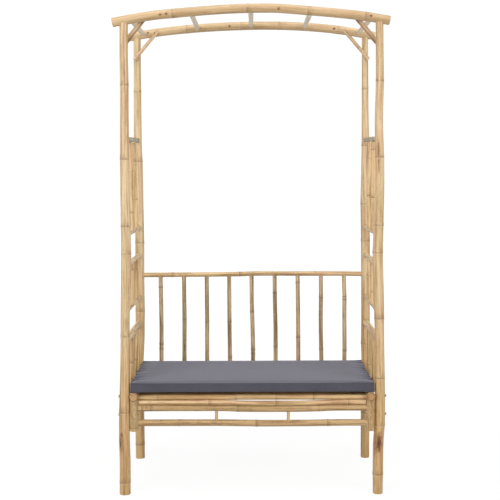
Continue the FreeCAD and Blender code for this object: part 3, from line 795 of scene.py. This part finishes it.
# heights of each spindle's rings, and its bow to the right by height
spindles = (
    ((0.534, 0.510, 0.80), ((0.45, 3.0), (0.62, 4.0), (0.85, 1.0))),
    ((0.649,), ((0.45, 3.5), (0.65, 5.0), (0.85, 3.0))),
    ((0.637,), ((0.45, 3.0), (0.64, 3.7), (0.85, 2.5))),
    ((0.637, 0.47), ((0.45, 3.0), (0.64, 1.0), (0.85, 0.2))),
    ((0.684, 0.505, 0.487), ((0.45, 3.5), (0.50, 4.2), (0.65, 1.2), (0.72, -1.2), (0.85, -2.0))),
    ((0.520, 0.77), ((0.45, 2.4), (0.60, 2.8), (0.72, 0.0), (0.85, -1.0))),
    ((0.564, 0.82), ((0.45, 1.5), (0.65, 1.0), (0.85, -0.4))),
    ((0.508, 0.75), ((0.45, 2.8), (0.60, 0.2), (0.68, -0.2), (0.74, 1.5), (0.85, 1.0))),
    ((0.754, 0.740, 0.50), ((0.45, 3.0), (0.52, 4.2), (0.70, 3.6), (0.754, 4.4), (0.85, 1.5))),
)
spindle_bottom, spindle_top = 0.446, 0.856
for number, (places, bow) in enumerate(spindles, 1):
    node = f"back_spindle_{number}"
    centre = box_centre(node)
    line, length = straight((centre.x, centre.y, spindle_bottom), (centre.x, centre.y, spindle_top))
    single_culm("cane", node, dark_cane_skin, line, length, (0.0102, 0.0098),
                [z - spindle_bottom for z in places], sides=24, bend=0.0,
                drift=drifting([(z - spindle_bottom, off) for z, off in bow]))


# Seat frame
# Two thick rails carry the pad, their solid sawn ends showing at the front over short posts
# that are bolted to the legs. Slats, a filler pole and two apron rails run across.

post_skin = bamboo(
    "bamboo_post_skin", "b69464 d0b686 825e36 b28a5a 9e8452", mottle=0.9, ring_line=0.5)
apron_skin = bamboo(
    "bamboo_apron_skin", "b29060 c8a878 86623a b88e62 a08654", streaks=0.65, mottle=0.4,
    ring_line=0.7)
# the seat rails' ends get the painted shade rim at their outer radius
seat_wood = sawn("bamboo_seat_rail_end", "c29c6e", "865c36", "8e643c", shade_rim_r=0.018)
for side_name in ("left", "right"):
    node = "seat_rail_" + side_name
    centre = box_centre(node)
    side = copysign(1, centre.x)
    line, length = along_box(node, 1, 0.0)
    flats = [((centre.x - side * 9.6 * mm, y, bolt_levels[0]), (-side, 0, 0), spot_face_r)
             for y in (-0.25, 0.25)]
    single_culm("culm", node, leg_skin, line, length, (0.018, 0.018), (0.21, 0.47), seat_wood, sides=72,
                across=(1, 0, 0), ends=("sawn", "sawn"), flats=flats, ring_size=0.5)
post_foot_z, post_top_z = 0.264, 0.395
for corner in legs:
    node = "post_" + corner
    centre = box_centre(node)
    side = copysign(1, centre.x)
    line, length = straight((centre.x, centre.y, post_foot_z), (centre.x, centre.y, post_top_z))
    flats = [((centre.x - side * 10.1 * mm, centre.y, bolt_levels[1]), (-side, 0, 0), spot_face_r)]
    single_culm("culm", node, post_skin, line, length, (0.0185, 0.0182),
                (0.012,) if "left" in corner else (), slot="bamboo_leg", sides=72,
                ends=("open", "blind"), flats=flats, step=0.012, ring_size=0.6)
# radius, hidden length at each end, places of rings, and rise in millimetres by place
seat_canes = {
    "apron_upper_rail_front": (
        0.0129, 0.012, (-0.463, -0.447, -0.428, -0.065, 0.275),
        ((-0.45, 1.3), (-0.11, 1.2), (-0.05, -2.2), (0.02, -3.0), (0.20, -3.0), (0.27, -1.4), (0.33, 1.2),
         (0.45, 1.2))),
    "apron_lower_rail_front": (
        0.0137, 0.012, (-0.308, 0.013, 0.312),
        ((-0.45, 1.1), (-0.12, 0.9), (0.05, -2.0), (0.24, -1.8), (0.36, -0.3), (0.45, -0.5))),
    "apron_upper_rail_rear": (0.012, 0.012, (-0.31, 0.04, 0.36), ((-0.45, 0.0), (0.0, 0.6), (0.45, 0.0))),
    "apron_lower_rail_rear": (0.012, 0.012, (-0.36, -0.03, 0.29), ((-0.45, 0.0), (0.0, -0.6), (0.45, 0.0))),
    "front_filler_pole": (
        0.0105, 0.0005, (-0.183, 0.096, 0.40),
        ((-0.45, 1.0), (-0.11, 1.0), (-0.05, -2.4), (0.02, -3.2), (0.20, -3.2), (0.27, -1.6), (0.33, 1.0),
         (0.45, 1.0))),
}
for node, (pole_r, inset, places, rises) in seat_canes.items():
    line, length = along_box(node, 0, inset)
    single_culm("cane", node, apron_skin if "apron" in node else cane_skin, line, length,
                (pole_r, pole_r * taper), [x + length / 2 for x in places], sides=26,
                bend=0.0003, drift=drifting([(x + length / 2, rise) for x, rise in rises], (0, 0, 1)),
                ring_size=0.7 if "upper" in node else 1.0)
bundle = new_bundle()
for x in (-0.150, 0.150):
    for y in (-0.246, 0.246):
        label = f"spacer {x} {y}"
        line, length = straight((x, y, 0.304), (x, y, 0.347))
        grow_culm(bundle, label, line, length, (0.0065, 0.0063), sides=20, step=0.01)
finish_bundle(bundle, "cane_apron_spacers", "apron_spacers", (lightened_leg_skin, cut_wood))
bundle = new_bundle()
slat_low, slat_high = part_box("seat_slats")
slat_half = slat_high.x - 0.008
slat_z = (slat_low.z + slat_high.z) / 2
front_slat_rings = (-0.40, -0.074, 0.097, 0.254)
first_slat_y, slat_gap, front_slat_out = -0.228, 0.0456, 0.004
for number in range(11):
    y = first_slat_y + slat_gap * number - (0 if number else front_slat_out)
    label = f"slat {number}"
    line, length = straight((-slat_half, y, slat_z), (slat_half, y, slat_z))
    places = scattered(label, length, 0.31) if number else [x + slat_half for x in front_slat_rings]
    grow_culm(bundle, label, line, length, (0.012, 0.0117), places, sides=22, step=0.05)
# the slats take the lightened leg skin, painted light against the shadow of the pad above them
finish_bundle(bundle, "canes_seat_slats", "seat_slats", (lightened_leg_skin, cut_wood))


# Bolts, nails and pegs
# Zinc-plated hexagon bolts with nuts and washers hold the seat frame to the legs, dull round-headed
# nails the braces, and a wooden peg each arch on the tenon of its leg.

def dull_metal(name, bright, dark, shine, metallic=0.85):
    """Material of plated or bare metal, spangled and a little grimy."""
    material, tree, shader = new_material(name, Metallic=metallic)
    place = object_place(tree)
    spangle = fade(fibres(place, 420, 420), 0.4, 0.62)
    grime = fade(fibres(place, 160, 160, 4.0, 0.65), 0.46, 0.64)
    colour = tint(spangle, paint(bright), paint(dark))
    colour = tint(times(grime, 0.5), colour, paint("604e3a"))
    link(colour, shader["Base Color"])
    link(fade(grime, 0.0, 1.0, shine, shine + 0.25), shader["Roughness"])
    return material


zinc = dull_metal("zinc_plated_steel", "beac90", "96846a", 0.5, metallic=0.3)
nail_iron = dull_metal("nail_iron", "ba9e74", "967a56", 0.5)
peg_wood, tree, shader = new_material("peg_wood", Roughness=0.75)
rings_cut = fade(fibres(object_place(tree), 900, 900, 3.0), 0.4, 0.62)
link(tint(rings_cut, paint("dcb870"), paint("b08446")), shader["Base Color"])
for node, material in (("seat_bolts", zinc), ("seat_nuts", zinc), ("seat_washers", zinc),
                       ("brace_nails", nail_iron), ("arch_pegs", peg_wood)):
    for material_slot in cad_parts[node].material_slots:
        material_slot.material = material


# Seat pad
# A flat foam pad in a cover of dark grey woven cloth, boxed and sewn along its edges, and gathered
# with small pleats along its two short ends. It lies loose on the seat.

# inside the CAD's cover by as much as the cloth swells and the seams stand out
pad_low, pad_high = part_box("cushion_cover")
pad_low += Vector((0.0006, 0.0012, 0.0018))
pad_high -= Vector((0.0006, 0.0012, 0.0024))
pad_size = pad_high - pad_low
pad_middle = (pad_low + pad_high) / 2
pad = bmesh.new()
bmesh.ops.create_cube(pad, size=1.0)
for axis, cuts in ((0, 111), (1, 95), (2, 5)):
    running = [e for e in pad.edges if abs((e.verts[0].co - e.verts[1].co).normalized()[axis]) > 0.99]
    bmesh.ops.subdivide_edges(pad, edges=running, cuts=cuts, use_grid_fill=True)
# the mesh is closer towards the two gathered ends
for vert in pad.verts:
    share = 2 * vert.co.x
    vert.co.x = 0.5 * (0.45 * share + 0.55 * sin(pi / 2 * share))
    vert.co = Vector(middle + c * size for middle, c, size in zip(pad_middle, vert.co, pad_size))
cloth_map = pad.loops.layers.uv.new("cloth")
for face in pad.faces:
    facing = max(range(3), key=lambda i: abs(face.normal[i]))
    first_axis, second_axis = ((1, 2), (0, 2), (0, 1))[facing]
    for corner in face.loops:
        corner[cloth_map].uv = (corner.vert.co[first_axis], corner.vert.co[second_axis])
    face.smooth = True
crease_shade = pad.verts.layers.float.new("crease_shade")
pad_mesh = as_mesh(pad, "seat_pad")
seat_pad = new_object("seat_pad", pad_mesh)
scene = bpy.context.scene
rest_places = [v.co.copy() for v in pad_mesh.vertices]
most_move = 0.0045
cloth = seat_pad.modifiers.new("swell", "CLOTH")
for key, value in {"quality": 5, "mass": 0.3, "tension_stiffness": 40, "compression_stiffness": 40,
                   "shear_stiffness": 20, "bending_stiffness": 0.3, "use_pressure": True,
                   "uniform_pressure_force": 4.0}.items():
    setattr(cloth.settings, key, value)
cloth.settings.effector_weights.gravity = 0.0
cloth.point_cache.frame_start = 1
cloth.point_cache.frame_end = 20
for number in range(1, 21):
    scene.frame_set(number)
swollen = seat_pad.evaluated_get(bpy.context.evaluated_depsgraph_get())
moved = [v.co.copy() for v in swollen.data.vertices]
seat_pad.modifiers.remove(cloth)
scene.frame_set(1)
for vert, start, end in zip(pad_mesh.vertices, rest_places, moved):
    way = end - start
    vert.co = start + way * (most_move / (most_move + way.length))
# the cover's ends are drawn together by small pleats, deepest at the edge, and each crease keeps how much
# painted shade darkens its cloth
pleat_places = {-1: (-0.206, -0.155, -0.100, -0.031, 0.014, 0.058, 0.106, 0.157, 0.192),
                1: (-0.205, -0.154, -0.118, -0.078, -0.033, 0.012, 0.061, 0.132, 0.180)}
draw = random.Random("pleats")
pleats = {end: [(y, draw.uniform(0.75, 1.2)) for y in places] for end, places in pleat_places.items()}
pleat_width, pleat_spread, pleat_depth, pleat_pull, end_puff = 0.0080, 0.10, 0.0095, 0.0090, 0.0016
pleat_length, pleat_reach = 0.16, 0.05
pad_floor = 0.42735
crease_shades = pad_mesh.attributes["crease_shade"].data
for vert in pad_mesh.vertices:
    co = vert.co
    end = -1 if co.x < 0 else 1
    inward = max(pad_size.x / 2 - abs(co.x), 0.0)
    rise = (co.z - pad_middle.z) / (pad_size.z / 2)
    if inward < pleat_length:
        for y, strength in pleats[end]:
            off = co.y - y
            if abs(off) < pleat_reach:
                crease = strength * exp(-(off / (pleat_width + pleat_spread * inward)) ** 2)
                co.z -= rise * pleat_depth * crease * exp(-inward / 0.022)
                co.x -= end * pleat_pull * crease * exp(-inward / 0.009)
                crease_shades[vert.index].value = max(crease_shades[vert.index].value, crease * exp(-inward / 0.012))
        co.z += rise * end_puff * exp(-inward / 0.030)
    co.z = max(co.z, pad_floor)
finish = seat_pad.modifiers.new("smooth", "SUBSURF")
finish.levels = finish.render_levels = 1

weave, put, out = effect(
    "plain_weave", {"Vector": "Cloth", "Float": "Thread", "Color": "Light Dark"},
    {"Color": "Color", "Float": "Roughness Height"})
warp, weft = (maths("DIVIDE", axis, put["Thread"]) for axis in axes(put["Cloth"])[:2])
over = maths("ABSOLUTE", maths("MODULO", plus(maths("FLOOR", warp), maths("FLOOR", weft)), 2.0))
under = minus(1.0, over)
warp_round, weft_round = (maths("ABSOLUTE", maths("SINE", times(way, pi))) for way in (warp, weft))
crown = plus(times(warp_round, over), times(weft_round, under))
slub = plus(times(noise(stretch(put["Cloth"], (14, 900, 1)), 2.0), over),
            times(noise(stretch(put["Cloth"], (900, 14, 1)), 2.0), under))
faded = add_node("TexNoise", {"Vector": put["Cloth"], "Scale": 9.0, "Detail": 3.0}).outputs[0]
shade = plus(times(crown, 0.45), times(fade(slub, 0.35, 0.65), 0.35))
shade = plus(shade, fade(faded, 0.3, 0.7, 0.0, 0.2))
link(tint(shade, put["Dark"], put["Light"]), out["Color"])
link(fade(slub, 0.3, 0.7, 0.86, 0.95), out["Roughness"])
link(plus(crown, times(slub, 0.4)), out["Height"])

grey_cloth, tree, shader = new_material(
    "grey_woven_cloth", Sheen_Weight=0.45, Sheen_Roughness=0.45, Sheen_Tint=paint("e2e2f0"),
    Specular_IOR_Level=0.25)
place = add_node("UVMap", {}, tree, uv_map="cloth").outputs[0]
woven = use(weave, Cloth=place, Thread=0.0009, Light=paint("595861"), Dark=paint("3d3c45"))
crease_shade_amount = add_node("Attribute", {}, tree, attribute_name="crease_shade").outputs["Fac"]
# painted shade: the cloth darkens to near black in the pleats' creases
link(tint(fade(crease_shade_amount, 0.3, 1.0, 0.0, 0.9), woven["Color"], paint("181619")), shader["Base Color"])
link(woven["Roughness"], shader["Roughness"])
emboss(shader, woven["Height"], 0.5, 0.0004)
pad_mesh.materials.append(grey_cloth)
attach(seat_pad, "cushion")
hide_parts("cushion_cover", "cushion_foam")

# the sewn seams run round the top and the bottom of the boxing
seam_curve = bpy.data.curves.new("pad_seams", "CURVE")
seam_curve.dimensions = "3D"
seam_curve.bevel_depth = 0.0010
seam_curve.bevel_resolution = 1
seam_inset, seam_rise = 0.0009, 0.0007
for level in (pad_low.z, pad_high.z):
    rim = [i for i, place in enumerate(rest_places) if abs(place.z - level) < 1e-5 and (
        min(place.x - pad_low.x, pad_high.x - place.x, place.y - pad_low.y, pad_high.y - place.y) < 1e-5)]
    rim.sort(key=lambda i: atan2(rest_places[i].y - pad_middle.y, rest_places[i].x - pad_middle.x))
    spline = seam_curve.splines.new("POLY")
    spline.points.add(len(rim) - 1)
    spline.use_cyclic_u = True
    for point, index in zip(spline.points, rim):
        inward = (pad_middle - rest_places[index]).normalized()
        place = pad_mesh.vertices[index].co + inward * seam_inset
        place.z += copysign(seam_rise, inward.z)
        point.co = (*place, 1.0)
seam_shape = bpy.data.objects.new("seam_shape", seam_curve)
seam_mesh = bpy.data.meshes.new_from_object(seam_shape)
bpy.data.objects.remove(seam_shape)
for face in seam_mesh.polygons:
    face.use_smooth = True
seam_mesh.materials.clear()
seam_cloth, tree, shader = new_material("grey_seam", Roughness=0.9)
twist = fade(fibres(object_place(tree), 900, 900), 0.4, 0.6)
link(tint(twist, paint("3e3d45"), paint("56555e")), shader["Base Color"])
seam_mesh.materials.append(seam_cloth)
pad_seams = new_object("pad_seams", seam_mesh)
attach(pad_seams, "cushion")


# Floor, light and camera
# A white sweep under soft studio light, seen level from the front.

def seen_directly(tree):
    """1 for what the camera sees, straight or by reflection, and 0 for what only lights the seat."""
    rays = add_node("LightPath", {}, tree).outputs
    return maths("MAXIMUM", rays["Is Camera Ray"],
                 maths("MAXIMUM", rays["Is Glossy Ray"], rays["Is Transmission Ray"]))


floor_material, tree, _ = new_material("white_sweep")
tree.nodes.remove(tree.nodes["Principled BSDF"])
plain = fade(size_of(object_place(tree)), 0.9, 2.6, 0.86, 1.0)
matt = add_node("BsdfDiffuse", {"Color": (0.60, 0.60, 0.60, 1)}, tree).outputs[0]
glow = add_node("Emission", {"Color": (1, 1, 1, 1), "Strength": 1.08}, tree).outputs[0]
mixed = add_node("MixShader", {0: times(seen_directly(tree), plain), 1: matt, 2: glow}).outputs[0]
link(mixed, tree.nodes["Material Output"].inputs["Surface"])
bundle = bmesh.new()
bmesh.ops.create_grid(bundle, x_segments=1, y_segments=1, size=30.0)
floor_mesh = as_mesh(bundle, "floor")
floor_mesh.materials.append(floor_material)
floor_mesh.transform(Matrix.Translation((0, 0, -0.0005)))
new_object("floor", floor_mesh)

scene.world = bpy.data.worlds.new("studio")
scene.world.use_nodes = True
background = scene.world.node_tree.nodes["Background"].inputs
world_light, world_seen = 0.57, 1.03
link(fade(seen_directly(scene.world.node_tree), 0.0, 1.0, world_light, world_seen), background["Strength"])
background["Color"].default_value = (1, 1, 1, 1)


def soft_lamp(name, place, target, size, watts):
    lamp = bpy.data.lights.new(name, "AREA")
    lamp.shape = "RECTANGLE"
    lamp.size, lamp.size_y = size
    lamp.energy = watts
    lamp_object = new_object(name, lamp)
    lamp_object.location = place
    lamp_object.rotation_euler = (Vector(target) - Vector(place)).to_track_quat("-Z", "Y").to_euler()


soft_lamp("key_left", (-2.3, -3.1, 2.5), (0, 0, 1.2), (1.8, 1.8), 65)
soft_lamp("key_right", (2.5, -2.9, 2.4), (0, 0, 1.2), (1.8, 1.8), 52)
soft_lamp("top", (0, -1.4, 6.5), (0, 0, 0.5), (3.6, 3.0), 108)

camera_data = bpy.data.cameras.new("photo_view")
camera_data.sensor_width = 36.0
camera_data.lens = 69.62
camera_data.shift_x = -0.0035
camera_data.shift_y = -0.1356
camera = new_object("photo_view", camera_data)
camera.location = (0.0008, -4.2736, 1.3719)
camera.rotation_euler = (radians(89.0), radians(0.2), 0)
scene.camera = camera
scene.view_settings.view_transform = "Standard"
